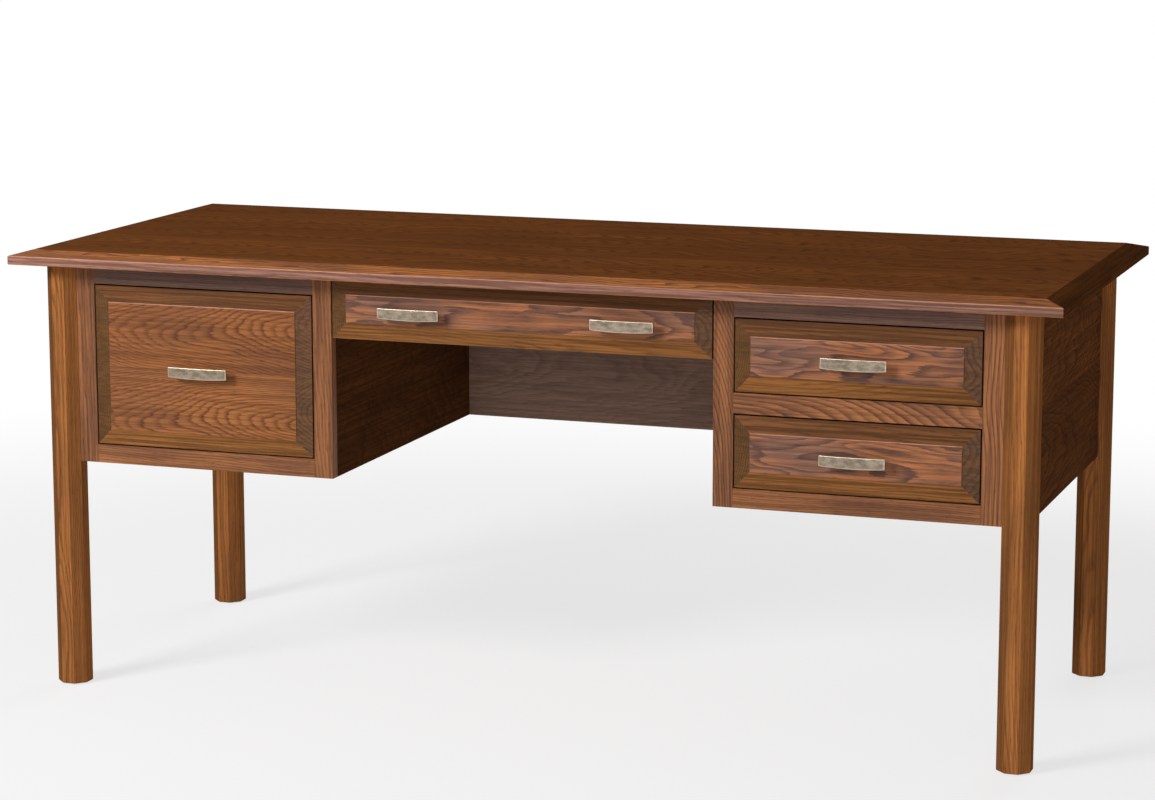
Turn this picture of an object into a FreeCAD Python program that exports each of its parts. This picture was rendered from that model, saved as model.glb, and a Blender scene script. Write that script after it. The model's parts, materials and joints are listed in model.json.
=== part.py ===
import FreeCAD, Part
import os
import re

# Executive writing desk in stained oak, in millimetres.
# X runs along the desk to the sitter's right, Y from the sitter to the back, Z up from the floor.
# The origin lies on the floor under the middle of the top.

doc = FreeCAD.newDocument("desk")

# Driving sizes, one plain number per cell
SIZES = {
    # Top
    "desk_height": 773,
    "top_width": 1830,
    "top_depth": 776,
    "top_thickness": 24,
    "top_edge_thickness": 15,
    "top_edge_round": 2.5,
    "edge_band_width": 34,
    # Legs and glides
    "leg_width": 56,
    "leg_chamfer": 16.4,
    "leg_side_inset": 45,
    "leg_front_inset": 41,
    "foot_bevel": 1.5,
    "glide_diameter": 26,
    "glide_thickness": 2,
    "glide_nail_diameter": 3,
    "glide_nail_length": 16,
    "nail_clearance": 0.05,
    # Pedestals
    "pedestal_height": 348,
    "knee_width": 672,
    "panel_thickness": 19,
    "bottom_thickness": 12,
    "frame_thickness": 19,
    "stile_width": 34,
    "top_rail_height": 34,
    "middle_rail_height": 34,
    "bottom_rail_height": 32,
    # Cleats and screws that hold the top
    "cleat_size": 19,
    "top_screw_diameter": 4,
    "top_screw_bite": 10,
    "top_screw_head_diameter": 8,
    "top_screw_head_thickness": 2.5,
    # Raised drawer fronts
    "reveal": 2.5,
    "front_thickness": 14,
    "bevel_width": 27,
    "pencil_bevel_width": 27,
    "bevel_rise": 6,
    "field_step": 1.2,
    "pencil_front_height": 103,
    # Dovetailed drawer boxes
    "box_rear_gap": 106,
    "pencil_rear_gap": 206,
    "box_lift": 14,
    "file_box_headroom": 43,
    "small_box_headroom": 18,
    "pencil_box_headroom": 32,
    "box_board": 12,
    "box_bottom_thickness": 6,
    "box_bottom_rise": 9,
    "groove_depth": 6,
    "groove_clearance": 0.2,
    "pin_width": 7,
    "pin_flare": 2,
    # Three-member slides
    "slide_end_gap": 20,
    "slide_height": 45,
    "slide_width": 12.7,
    "slide_gauge": 1.5,
    "slide_play": 0.4,
    "slide_setback": 2,
    "packer_margin": 6,
    # Bowed pulls
    "pull_length": 109,
    "pull_height": 19.5,
    "pull_belly": 1.9,
    "pull_bow": 3,
    "pull_bar_thickness": 5,
    "pull_projection": 23,
    "pull_drop": 2,
    "pull_post_spacing": 76,
    "pull_post_diameter": 9,
    "pencil_pull_spacing": 374,
    "pull_screw_diameter": 4,
    "pull_screw_clearance": 0.3,
    "pull_screw_bite": 12,
    "pull_screw_head_diameter": 8.5,
    "pull_screw_head_thickness": 2.4,
    # Run-out of every cutting tool past the face that it leaves
    "overrun": 1,
}

# Planes and spans that follow from the driving sizes
PLACES = {
    "under_top": "desk_height - top_thickness",
    "edge_top": "under_top + top_edge_thickness",
    "pedestal_underside": "under_top - pedestal_height",
    "leg_centre_x": "top_width / 2 - leg_side_inset - leg_width / 2",
    "leg_centre_y": "top_depth / 2 - leg_front_inset - leg_width / 2",
    "leg_inner_x": "leg_centre_x - leg_width / 2",
    "leg_inner_y": "leg_centre_y - leg_width / 2",
    "face_y": "leg_chamfer - leg_width / 2 - leg_centre_y",
    "frame_back_y": "face_y + frame_thickness",
    "back_front_y": "leg_centre_y - panel_thickness / 2",
    "back_rear_y": "leg_centre_y + panel_thickness / 2",
    "end_inner_x": "leg_centre_x - panel_thickness / 2",
    "end_outer_x": "leg_centre_x + panel_thickness / 2",
    "knee_x": "knee_width / 2",
    "inner_panel_x": "knee_x + panel_thickness",
    "opening_inner_x": "knee_x + stile_width",
    "opening_outer_x": "leg_inner_x - stile_width",
    "opening_bottom": "pedestal_underside + bottom_rail_height",
    "opening_top": "under_top - top_rail_height",
    "middle_rail_bottom": "(opening_bottom + opening_top - middle_rail_height) / 2",
    "middle_rail_top": "middle_rail_bottom + middle_rail_height",
    "pencil_bottom": "under_top - pencil_front_height - 2 * reveal",
    "cleat_bottom": "under_top - cleat_size",
    "field_y": "face_y - bevel_rise - field_step",
    "box_front_y": "face_y + front_thickness",
    "box_depth": "back_front_y - box_front_y - box_rear_gap",
    "pencil_box_depth": "back_front_y - box_front_y - pencil_rear_gap",
    "slide_front_y": "box_front_y + slide_setback",
    "bar_front_y": "field_y - pull_projection",
    "bow_radius": "pull_length * pull_length / (8 * pull_bow) + pull_bow / 2",
    "belly_radius": "pull_length * pull_length / (8 * pull_belly) + pull_belly / 2",
    "bow_at_post": "pull_bow * pull_post_spacing * pull_post_spacing / (pull_length * pull_length)",
}

# Where the screws stand along each cleat, counted from its middle
TOP_SCREW_SHARES = (-0.36, 0, 0.36)


def qualified(text):
    """Turn the plain names in a formula into references to the two sheets."""
    def reference(match):
        name = match.group(0)
        if name in SIZES:
            return "Sizes." + name
        if name in PLACES:
            return "Places." + name
        return name
    return re.sub(r"[A-Za-z_][A-Za-z_0-9]*", reference, str(text))


def make_sheet(name, cells):
    """Write one aliased cell for each entry."""
    sheet = doc.addObject("Spreadsheet::Sheet", name)
    for row, (alias, content) in enumerate(cells.items(), start=1):
        sheet.set(f"A{row}", alias)
        sheet.set(f"B{row}", content)
        sheet.setAlias(f"B{row}", alias)
    doc.recompute()
    return sheet


make_sheet("Sizes", {name: str(number) for name, number in SIZES.items()})
make_sheet("Places", {name: "=" + qualified(formula) for name, formula in PLACES.items()})


def bind(thing, **formulas):
    """Tie properties to formulas; x, y and z place the object."""
    for prop, formula in formulas.items():
        path = f"Placement.Base.{prop}" if prop in ("x", "y", "z") else prop
        thing.setExpression(path, qualified(formula))
    return thing


def block(name, x, y, z):
    """A board, given by the two planes that bound it along each axis."""
    board = doc.addObject("Part::Box", name)
    bind(board, Length=f"({x[1]}) - ({x[0]})", Width=f"({y[1]}) - ({y[0]})", Height=f"({z[1]}) - ({z[0]})")
    return bind(board, x=x[0], y=y[0], z=z[0])


def taper(name, y, near, far):
    """A wedge along Y: near and far are its (x, z) planes at the two ends."""
    wedge = doc.addObject("Part::Wedge", name)
    bind(wedge, Ymin=y[0], Xmin=near[0][0], Xmax=near[0][1], Zmin=near[1][0], Zmax=near[1][1])
    return bind(wedge, Ymax=y[1], X2min=far[0][0], X2max=far[0][1], Z2min=far[1][0], Z2max=far[1][1])


def rod(name, diameter, length, x, y, z, along_y=False):
    """A round bar that starts at the given point and runs up, or to the front where along_y is set."""
    bar = doc.addObject("Part::Cylinder", name)
    bind(bar, Radius=f"({diameter}) / 2", Height=length)
    if along_y:
        bar.Placement.Rotation = FreeCAD.Rotation(FreeCAD.Vector(1, 0, 0), 90)
    return bind(bar, x=x, y=y, z=z)


def fuse(name, *shapes):
    joined = doc.addObject("Part::MultiFuse", name)
    joined.Shapes = list(shapes)
    joined.Refine = True
    return joined


def cut(name, base, tool):
    remaining = doc.addObject("Part::Cut", name)
    remaining.Base = base
    remaining.Tool = tool
    return remaining


def common(name, first, second):
    shared = doc.addObject("Part::Common", name)
    shared.Base = first
    shared.Tool = second
    return shared


def group(name, shapes):
    """Separate solids that share one node."""
    together = doc.addObject("Part::Compound", name)
    together.Links = list(shapes)
    return together


def span(side, near, far):
    """The X planes from near to far of the middle, on the right (1) or mirrored to the left (-1)."""
    return (near, far) if side > 0 else (f"-({far})", f"-({near})")


def signed(side, formula):
    return formula if side > 0 else f"-({formula})"


def edges_where(shape, test):
    """Names of the edges that pass the test."""
    return [f"Edge{i}" for i, edge in enumerate(shape.Edges, start=1) if test(edge)]


def is_upright(edge):
    first, last = edge.Vertexes[0].Point, edge.Vertexes[-1].Point
    return abs(first.z - last.z) > abs(first.x - last.x) + abs(first.y - last.y)


SIDES = {"left": -1, "right": 1}
nodes = []


# The top: a slab with rounded edges and a broad bevel above it, parted along its mitres and drilled from below
def make_top():
    holes = make_top_fixing()
    body = doc.addObject("PartDesign::Body", "top_blank")
    slab = body.newObject("PartDesign::AdditiveBox", "top_slab")
    bind(slab, Length="top_width", Width="top_depth", Height="top_edge_thickness")
    bind(body, x="-top_width / 2", y="-top_depth / 2", z="under_top")
    doc.recompute()
    rounded = body.newObject("PartDesign::Fillet", "top_rounding")
    rounded.Base = (slab, edges_where(slab.Shape, lambda edge: True))
    bind(rounded, Radius="top_edge_round")
    body.Tip = rounded
    height = ("under_top", "desk_height")
    outer_x = ("-top_width / 2", "top_width / 2")
    inner_x = ("edge_band_width - top_width / 2", "top_width / 2 - edge_band_width")
    front_y = ("-top_depth / 2", "edge_band_width - top_depth / 2")
    back_y = ("top_depth / 2 - edge_band_width", "top_depth / 2")
    inner_y = (front_y[1], back_y[0])
    rim_x = ("top_edge_round - top_width / 2", "top_width / 2 - top_edge_round")
    rim_y = ("top_edge_round - top_depth / 2", "top_depth / 2 - top_edge_round")
    bevel = taper("top_bevel", ("edge_top", "desk_height"), (rim_x, rim_y), (inner_x, inner_y))
    bevel.Placement.Rotation = FreeCAD.Rotation(FreeCAD.Vector(1, 0, 0), 90)
    blank = fuse("bevelled_blank", body, bevel)
    front_shape = taper("front_band_shape", front_y, (outer_x, height), (inner_x, height))
    back_shape = taper("back_band_shape", back_y, (inner_x, height), (outer_x, height))
    long_bands = group("long_band_shapes", [front_shape, back_shape])
    nodes.append(cut("top_front_band", common("front_band_blank", blank, front_shape), holes))
    nodes.append(cut("top_back_band", common("back_band_blank", blank, back_shape), holes))
    for name, side in SIDES.items():
        strip_x = span(side, "top_width / 2 - edge_band_width", "top_width / 2")
        strip = block(f"{name}_band_strip", strip_x, (front_y[0], back_y[1]), height)
        side_blank = common(f"{name}_band_blank", blank, strip)
        mitred = cut(f"{name}_band_mitred", side_blank, long_bands)
        nodes.append(cut(f"top_{name}_band", mitred, holes))
    field = block("field_board", inner_x, inner_y, height)
    nodes.append(cut("top_field_panel", field, holes))


# Cleats inside the carcase, the screws through them, and the holes that those screws need
def make_top_fixing():
    heads_z = "cleat_bottom - top_screw_head_thickness"
    cleats, screws, holes = [], [], []

    def add_screw(x, y):
        tag = f"top_screw_{len(screws)}"
        shank = rod(f"{tag}_shank", "top_screw_diameter", "cleat_size + top_screw_bite", x, y, "cleat_bottom")
        head = rod(f"{tag}_head", "top_screw_head_diameter", "top_screw_head_thickness", x, y, heads_z)
        screws.append(fuse(tag, shank, head))
        hole_width = "top_screw_diameter + 2 * nail_clearance"
        holes.append(rod(f"{tag}_hole", hole_width, "cleat_size + top_screw_bite", x, y, "cleat_bottom"))

    height = ("cleat_bottom", "under_top")
    for name, side in SIDES.items():
        outer = span(side, "end_inner_x - cleat_size", "end_inner_x")
        inner = span(side, "inner_panel_x", "inner_panel_x + cleat_size")
        cleats.append(block(f"{name}_outer_cleat", outer, ("-leg_inner_y", "leg_inner_y"), height))
        cleats.append(block(f"{name}_inner_cleat", inner, ("frame_back_y", "back_front_y"), height))
        for share in TOP_SCREW_SHARES:
            along = f"2 * leg_inner_y * {share}"
            add_screw(signed(side, "end_inner_x - cleat_size / 2"), along)
            add_screw(signed(side, "inner_panel_x + cleat_size / 2"), along)
    cleats.append(block("knee_cleat", ("-knee_x", "knee_x"), ("back_front_y - cleat_size", "back_front_y"), height))
    for share in TOP_SCREW_SHARES:
        add_screw(f"knee_width * {share}", "back_front_y - cleat_size / 2")
    holes_tool = group("top_screw_holes", holes)
    nodes.append(cut("top_cleats", group("cleat_boards", cleats), holes_tool))
    nodes.append(group("top_screws", screws))
    return holes_tool


# Eight-sided legs, bored for the nail of their glide
def make_legs():
    glides = []
    for row, y_side in (("front", -1), ("back", 1)):
        for name, side in SIDES.items():
            x = signed(side, "leg_centre_x")
            y = signed(y_side, "leg_centre_y")
            tag = f"{row}_{name}_leg"
            body = doc.addObject("PartDesign::Body", f"{tag}_body")
            post = body.newObject("PartDesign::AdditiveBox", f"{tag}_post")
            bind(post, Length="leg_width", Width="leg_width", Height="under_top - glide_thickness")
            bind(body, x=f"{x} - leg_width / 2", y=f"{y} - leg_width / 2", z="glide_thickness")
            doc.recompute()
            corners = body.newObject("PartDesign::Chamfer", f"{tag}_corners")
            corners.Base = (post, edges_where(post.Shape, is_upright))
            bind(corners, Size="leg_chamfer")
            body.Tip = corners
            doc.recompute()
            lowest = corners.Shape.BoundBox.ZMin
            foot = body.newObject("PartDesign::Chamfer", f"{tag}_foot")
            at_foot = edges_where(corners.Shape, lambda edge: edge.BoundBox.ZMax < lowest + edge.Length / 2)
            foot.Base = (corners, at_foot)
            bind(foot, Size="foot_bevel")
            body.Tip = foot
            bore_width = "glide_nail_diameter + 2 * nail_clearance"
            bore = rod(f"{tag}_bore", bore_width, "glide_nail_length", x, y, "glide_thickness")
            nodes.append(cut(tag, body, bore))
            pad = rod(f"{tag}_pad", "glide_diameter", "glide_thickness", x, y, "0")
            nail = rod(f"{tag}_nail", "glide_nail_diameter", "glide_nail_length", x, y, "glide_thickness")
            glides.append(fuse(f"{tag}_glide", pad, nail))
    nodes.append(group("leg_glides", glides))


# The two pedestals and the back panel that ties them together
def make_carcase():
    height = ("pedestal_underside", "under_top")
    frame_y = ("face_y", "frame_back_y")
    inside_y = ("frame_back_y", "back_front_y")
    between_legs = ("-leg_inner_y", "leg_inner_y")
    for name, side in SIDES.items():
        end_x = span(side, "end_inner_x", "end_outer_x")
        nodes.append(block(f"{name}_end_panel", end_x, between_legs, height))
        knee_x = span(side, "knee_x", "inner_panel_x")
        nodes.append(block(f"{name}_knee_panel", knee_x, inside_y, height))
        outer_x = span(side, "opening_outer_x", "leg_inner_x")
        inner_x = span(side, "knee_x", "opening_inner_x")
        outer_stile = block(f"{name}_outer_stile", outer_x, frame_y, height)
        inner_stile = block(f"{name}_inner_stile", inner_x, frame_y, height)
        nodes.append(group(f"{name}_stiles", [outer_stile, inner_stile]))
        rail_x = span(side, "opening_inner_x", "opening_outer_x")
        nodes.append(block(f"{name}_top_rail", rail_x, frame_y, ("opening_top", "under_top")))
        nodes.append(block(f"{name}_bottom_rail", rail_x, frame_y, ("pedestal_underside", "opening_bottom")))
        floor_z = ("pedestal_underside", "pedestal_underside + bottom_thickness")
        floor_board = block(f"{name}_floor_board", span(side, "inner_panel_x", "leg_inner_x"), inside_y, floor_z)
        tongue = block(f"{name}_floor_tongue", span(side, "leg_inner_x", "end_inner_x"), between_legs, floor_z)
        nodes.append(fuse(f"{name}_pedestal_bottom", floor_board, tongue))
    middle_x = ("opening_inner_x", "opening_outer_x")
    nodes.append(block("right_middle_rail", middle_x, frame_y, ("middle_rail_bottom", "middle_rail_top")))
    nodes.append(block("back_panel", ("-leg_inner_x", "leg_inner_x"), ("back_front_y", "back_rear_y"), height))


class Drawer:
    """The opening that a drawer fills, and the sizes of its box, slides and pulls."""

    def __init__(self, name, x, z, headroom, depth, bevel, pins, pulls):
        self.name = name
        self.x = x
        self.z = z
        self.bevel = bevel
        self.pins = pins
        self.box_x = (f"{x[0]} + slide_width", f"{x[1]} - slide_width")
        self.box_y = ("box_front_y", f"box_front_y + {depth}")
        self.box_z = (f"{z[0]} + box_lift", f"{z[1]} - {headroom}")
        self.box_height = f"({self.box_z[1]} - ({self.box_z[0]}))"
        self.slide_y = ("slide_front_y", f"slide_front_y + {depth} - slide_end_gap")
        self.slide_bottom = f"({self.box_z[0]} + {self.box_z[1]} - slide_height) / 2"
        middle = f"({x[0]} + {x[1]}) / 2"
        self.pull_x = [f"{middle} + ({offset})" for offset in pulls]
        self.pull_z = f"({z[0]} + {z[1]}) / 2 - pull_drop"


DRAWERS = [
    Drawer("file_drawer", ("-opening_outer_x", "-opening_inner_x"), ("opening_bottom", "opening_top"),
           "file_box_headroom", "box_depth", "bevel_width", 6, ["0"]),
    Drawer("pencil_drawer", ("-knee_x", "knee_x"), ("pencil_bottom", "under_top"),
           "pencil_box_headroom", "pencil_box_depth", "pencil_bevel_width", 2,
           ["-pencil_pull_spacing / 2", "pencil_pull_spacing / 2"]),
    Drawer("upper_drawer", ("opening_inner_x", "opening_outer_x"), ("middle_rail_top", "opening_top"),
           "small_box_headroom", "box_depth", "bevel_width", 3, ["0"]),
    Drawer("lower_drawer", ("opening_inner_x", "opening_outer_x"), ("opening_bottom", "middle_rail_bottom"),
           "small_box_headroom", "box_depth", "bevel_width", 3, ["0"]),
]


# Holes for the pull screws: clearance through the wood, thread in the posts
def screw_places(drawer):
    for x in drawer.pull_x:
        for side in SIDES.values():
            yield f"{x} + {signed(side, 'pull_post_spacing / 2')}"


def make_screws(drawer):
    inside_y = "box_front_y + box_board"
    grip = f"{inside_y} - field_y"
    screws, holes = [], []
    for number, x in enumerate(screw_places(drawer)):
        tag = f"{drawer.name}_screw_{number}"
        reach = f"{grip} + pull_screw_bite"
        shank = rod(f"{tag}_shank", "pull_screw_diameter", reach, x, inside_y, drawer.pull_z, along_y=True)
        head_y = f"{inside_y} + pull_screw_head_thickness"
        head = rod(f"{tag}_head", "pull_screw_head_diameter", "pull_screw_head_thickness",
                   x, head_y, drawer.pull_z, along_y=True)
        screws.append(fuse(tag, shank, head))
        wide = "pull_screw_diameter + 2 * pull_screw_clearance"
        hole_y = f"{inside_y} + overrun"
        holes.append(rod(f"{tag}_hole", wide, f"{grip} + 2 * overrun", x, hole_y, drawer.pull_z, along_y=True))
    nodes.append(group(f"{drawer.name}_pull_screws", screws))
    return group(f"{drawer.name}_screw_holes", holes)


# A raised front: slab in the opening, bevel round it, and a field that stands a small step above the bevel
def make_front(drawer, holes):
    slab_x = (f"{drawer.x[0]} + reveal", f"{drawer.x[1]} - reveal")
    slab_z = (f"{drawer.z[0]} + reveal", f"{drawer.z[1]} - reveal")
    field_x = (f"{slab_x[0]} + {drawer.bevel}", f"{slab_x[1]} - {drawer.bevel}")
    field_z = (f"{slab_z[0]} + {drawer.bevel}", f"{slab_z[1]} - {drawer.bevel}")
    bevel_y = ("face_y - bevel_rise", "face_y")
    slab = block(f"{drawer.name}_slab", slab_x, ("face_y", "box_front_y"), slab_z)
    bevel = taper(f"{drawer.name}_bevel", bevel_y, (field_x, field_z), (slab_x, slab_z))
    field = block(f"{drawer.name}_field", field_x, ("field_y", "face_y - bevel_rise"), field_z)
    raised = fuse(f"{drawer.name}_raised", slab, bevel, field)
    nodes.append(cut(f"{drawer.name}_front", raised, holes))


# Dovetail pins run right across the box: they join the end boards and open the sockets in the sides
def dovetail_pins(drawer, end, y, narrow_first):
    pins = []
    for number in range(drawer.pins):
        centre = f"{drawer.box_z[0]} + {drawer.box_height} * {2 * number + 1} / {2 * drawer.pins}"
        narrow = (f"{centre} - pin_width / 2", f"{centre} + pin_width / 2")
        wide = (f"{narrow[0]} - pin_flare", f"{narrow[1]} + pin_flare")
        near, far = (narrow, wide) if narrow_first else (wide, narrow)
        pin = taper(f"{drawer.name}_{end}_pin_{number}", y, (drawer.box_x, near), (drawer.box_x, far))
        pins.append(pin)
    return pins


def make_box(drawer, holes):
    left, right = drawer.box_x
    front, back = drawer.box_y
    inner_x = (f"{left} + box_board", f"{right} - box_board")
    ends = {"front": (front, f"{front} + box_board"), "back": (f"{back} - box_board", back)}
    pins = {end: dovetail_pins(drawer, end, y, end == "front") for end, y in ends.items()}

    floor_z = f"{drawer.box_z[0]} + box_bottom_rise"
    inner_y = (ends["front"][1], ends["back"][0])
    groove = block(f"{drawer.name}_groove",
                   (f"{inner_x[0]} - groove_depth", f"{inner_x[1]} + groove_depth"),
                   (f"{inner_y[0]} - groove_depth", f"{inner_y[1]} + groove_depth"),
                   (f"{floor_z} - groove_clearance", f"{floor_z} + box_bottom_thickness + groove_clearance"))
    play = "groove_depth - groove_clearance"
    nodes.append(block(f"{drawer.name}_bottom",
                       (f"{inner_x[0]} - ({play})", f"{inner_x[1]} + {play}"),
                       (f"{inner_y[0]} - ({play})", f"{inner_y[1]} + {play}"),
                       (floor_z, f"{floor_z} + box_bottom_thickness")))

    boards = []
    for end, y in ends.items():
        board = block(f"{drawer.name}_{end}_board", inner_x, y, drawer.box_z)
        pinned = fuse(f"{drawer.name}_{end}_pinned", board, *pins[end])
        grooved = cut(f"{drawer.name}_{end}_grooved", pinned, groove)
        boards.append(cut(f"{drawer.name}_{end}_end", grooved, holes) if end == "front" else grooved)
    nodes.append(group(f"{drawer.name}_box_ends", boards))

    left_board = block(f"{drawer.name}_left_board", (left, inner_x[0]), drawer.box_y, drawer.box_z)
    right_board = block(f"{drawer.name}_right_board", (inner_x[1], right), drawer.box_y, drawer.box_z)
    side_boards = group(f"{drawer.name}_side_boards", [left_board, right_board])
    sockets = group(f"{drawer.name}_sockets", pins["front"] + pins["back"])
    tails = cut(f"{drawer.name}_tails", side_boards, sockets)
    nodes.append(cut(f"{drawer.name}_box_sides", tails, groove))


# A bowed bar on two posts: a slice of a tube, with its lower edge cut to a shallow belly
def make_pulls(drawer):
    pulls = []
    low = f"{drawer.pull_z} - pull_height / 2"
    high = f"{drawer.pull_z} + pull_height / 2"
    bow_axis = "bar_front_y + bow_radius"
    for number, x in enumerate(drawer.pull_x):
        tag = f"{drawer.name}_pull_{number}"
        outer = rod(f"{tag}_outer", "2 * bow_radius", "pull_height", x, bow_axis, low)
        inner = rod(f"{tag}_inner", "2 * (bow_radius - pull_bar_thickness)", "pull_height + 2 * overrun",
                    x, bow_axis, f"{low} - overrun")
        tube = cut(f"{tag}_tube", outer, inner)
        slice_x = (f"{x} - pull_length / 2", f"{x} + pull_length / 2")
        slice_y = ("bar_front_y", "bar_front_y + pull_bow + pull_bar_thickness")
        bowed = common(f"{tag}_bowed", tube, block(f"{tag}_slice", slice_x, slice_y, (low, high)))
        belly = rod(f"{tag}_belly", "2 * belly_radius", "pull_bow + pull_bar_thickness + overrun", x,
                    "bar_front_y + pull_bow + pull_bar_thickness", f"{low} + belly_radius", along_y=True)
        bar = common(f"{tag}_bar", bowed, belly)
        posts, threads = [], []
        for name, side in SIDES.items():
            post_x = f"{x} + {signed(side, 'pull_post_spacing / 2')}"
            post_length = "pull_projection - bow_at_post - pull_bar_thickness / 2"
            posts.append(rod(f"{tag}_{name}_post", "pull_post_diameter", post_length,
                             post_x, "field_y", drawer.pull_z, along_y=True))
            thread = "pull_screw_diameter + 2 * nail_clearance"
            threads.append(rod(f"{tag}_{name}_thread", thread, "pull_screw_bite",
                               post_x, "field_y", drawer.pull_z, along_y=True))
        casting = fuse(f"{tag}_casting", bar, *posts)
        pulls.append(cut(f"{tag}_bored", casting, group(f"{tag}_threads", threads)))
    nodes.append(group(f"{drawer.name}_pulls", pulls))


# Slides: three channels nested in one another on each side of a drawer, with a little play between them
def channel(name, drawer, side, depth, level, opens_in):
    """One channel; depth is its span from the opening's edge, level how many channels lie round it."""
    edge = drawer.x[1] if side > 0 else drawer.x[0]
    low = f"{drawer.slide_bottom} + {level} * (slide_gauge + slide_play)"
    high = f"{drawer.slide_bottom} + slide_height - {level} * (slide_gauge + slide_play)"
    hollow_length = (f"{drawer.slide_y[0]} - overrun", f"{drawer.slide_y[1]} + overrun")
    hollow_z = (f"{low} + slide_gauge", f"{high} - slide_gauge")
    if opens_in:
        hollow_depth = (f"{depth[0]} + slide_gauge", f"{depth[1]} + overrun")
    else:
        hollow_depth = (f"{depth[0]} - overrun", f"{depth[1]} - slide_gauge")

    def from_edge(reach):
        if side > 0:
            return (f"{edge} - ({reach[1]})", f"{edge} - ({reach[0]})")
        return (f"{edge} + {reach[0]}", f"{edge} + {reach[1]}")

    strip = block(f"{name}_strip", from_edge(depth), drawer.slide_y, (low, high))
    hollow = block(f"{name}_hollow", from_edge(hollow_depth), hollow_length, hollow_z)
    return cut(name, strip, hollow)


def make_slides(drawer, fixed_members):
    middle, moving = [], []
    for name, side in SIDES.items():
        tag = f"{drawer.name}_{name}"
        fixed_depth = ("0", "slide_width - 2 * (slide_gauge + slide_play)")
        middle_depth = ("slide_gauge + slide_play", "slide_width - slide_gauge - slide_play")
        moving_depth = ("2 * (slide_gauge + slide_play)", "slide_width")
        fixed_members.append(channel(f"{tag}_fixed_channel", drawer, side, fixed_depth, 0, True))
        middle.append(channel(f"{tag}_middle_channel", drawer, side, middle_depth, 1, True))
        moving.append(channel(f"{tag}_drawer_channel", drawer, side, moving_depth, 2, False))
    nodes.append(group(f"{drawer.name}_middle_channels", middle))
    nodes.append(group(f"{drawer.name}_slide_channels", moving))


# Packers bring the slides of the pedestals out to the edge of their openings
def make_packers():
    packers = []
    for drawer in DRAWERS:
        if drawer.name == "pencil_drawer":
            continue
        side = -1 if drawer.name == "file_drawer" else 1
        height = (f"{drawer.slide_bottom} - packer_margin",
                  f"{drawer.slide_bottom} + slide_height + packer_margin")
        outer = span(side, "opening_outer_x", "end_inner_x")
        inner = span(side, "inner_panel_x", "opening_inner_x")
        packers.append(block(f"{drawer.name}_outer_packer", outer, ("-leg_inner_y", "leg_inner_y"), height))
        packers.append(block(f"{drawer.name}_inner_packer", inner, ("frame_back_y", "back_front_y"), height))
    nodes.append(group("slide_packers", packers))


make_top()
make_legs()
make_carcase()
make_packers()
carcase_channels = []
for drawer in DRAWERS:
    screw_holes = make_screws(drawer)
    make_front(drawer, screw_holes)
    make_box(drawer, screw_holes)
    make_pulls(drawer)
    make_slides(drawer, carcase_channels)
nodes.append(group("carcase_slide_channels", carcase_channels))

doc.recompute()

# Nothing is written unless every object is sound
for item in doc.Objects:
    if {"Invalid", "Error"} & set(item.State):
        raise RuntimeError(f"{item.Label} failed: {item.State}")
for node in nodes:
    if node.Shape.isNull() or not node.Shape.isValid():
        raise RuntimeError(f"{node.Label} has no sound shape")

os.makedirs("parts", exist_ok=True)
for node in nodes:
    node.Shape.exportStep(f"parts/{node.Label}.step")
print(len(nodes), "nodes,", sum(len(node.Shape.Solids) for node in nodes), "solids")
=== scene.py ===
# %% [markdown]
# # An office desk in stained oak
# The desk is a wide top on eight-sided legs, with a pedestal at each end and a shallow drawer between.
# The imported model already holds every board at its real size, so it is loaded as a fixed frame.
# The lesson then models the boards again with eased edges, casts the pulls and mixes the finishes.

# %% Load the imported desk
import json
import math

import bmesh
import bpy
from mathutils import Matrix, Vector

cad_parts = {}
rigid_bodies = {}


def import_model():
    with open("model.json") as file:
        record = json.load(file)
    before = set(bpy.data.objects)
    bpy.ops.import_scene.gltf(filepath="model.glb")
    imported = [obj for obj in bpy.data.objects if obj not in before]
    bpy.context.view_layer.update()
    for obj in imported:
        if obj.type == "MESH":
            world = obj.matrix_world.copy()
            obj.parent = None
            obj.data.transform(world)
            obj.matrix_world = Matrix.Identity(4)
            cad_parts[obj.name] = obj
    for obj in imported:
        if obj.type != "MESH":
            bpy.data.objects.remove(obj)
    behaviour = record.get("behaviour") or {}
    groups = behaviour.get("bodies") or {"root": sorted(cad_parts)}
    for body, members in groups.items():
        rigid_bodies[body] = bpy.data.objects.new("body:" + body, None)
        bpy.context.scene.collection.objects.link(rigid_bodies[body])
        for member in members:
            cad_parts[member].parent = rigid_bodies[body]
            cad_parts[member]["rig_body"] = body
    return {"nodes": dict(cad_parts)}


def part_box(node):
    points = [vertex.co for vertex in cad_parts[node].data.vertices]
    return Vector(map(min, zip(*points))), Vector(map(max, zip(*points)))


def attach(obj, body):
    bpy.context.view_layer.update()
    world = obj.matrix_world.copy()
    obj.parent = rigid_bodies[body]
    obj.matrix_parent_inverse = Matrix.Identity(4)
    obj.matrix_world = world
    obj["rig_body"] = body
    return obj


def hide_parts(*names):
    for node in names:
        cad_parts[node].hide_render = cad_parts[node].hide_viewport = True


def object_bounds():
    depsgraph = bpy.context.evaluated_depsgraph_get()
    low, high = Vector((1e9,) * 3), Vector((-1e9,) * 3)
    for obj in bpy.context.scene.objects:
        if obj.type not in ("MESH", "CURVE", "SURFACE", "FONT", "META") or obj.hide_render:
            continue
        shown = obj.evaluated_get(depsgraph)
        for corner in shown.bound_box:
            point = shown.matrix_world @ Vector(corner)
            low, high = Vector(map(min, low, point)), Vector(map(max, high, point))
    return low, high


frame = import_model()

cad_low, cad_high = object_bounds()
MM = 0.001
print("desk box", [round(size, 3) for size in cad_high - cad_low], "with", len(frame["nodes"]), "nodes")

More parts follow.
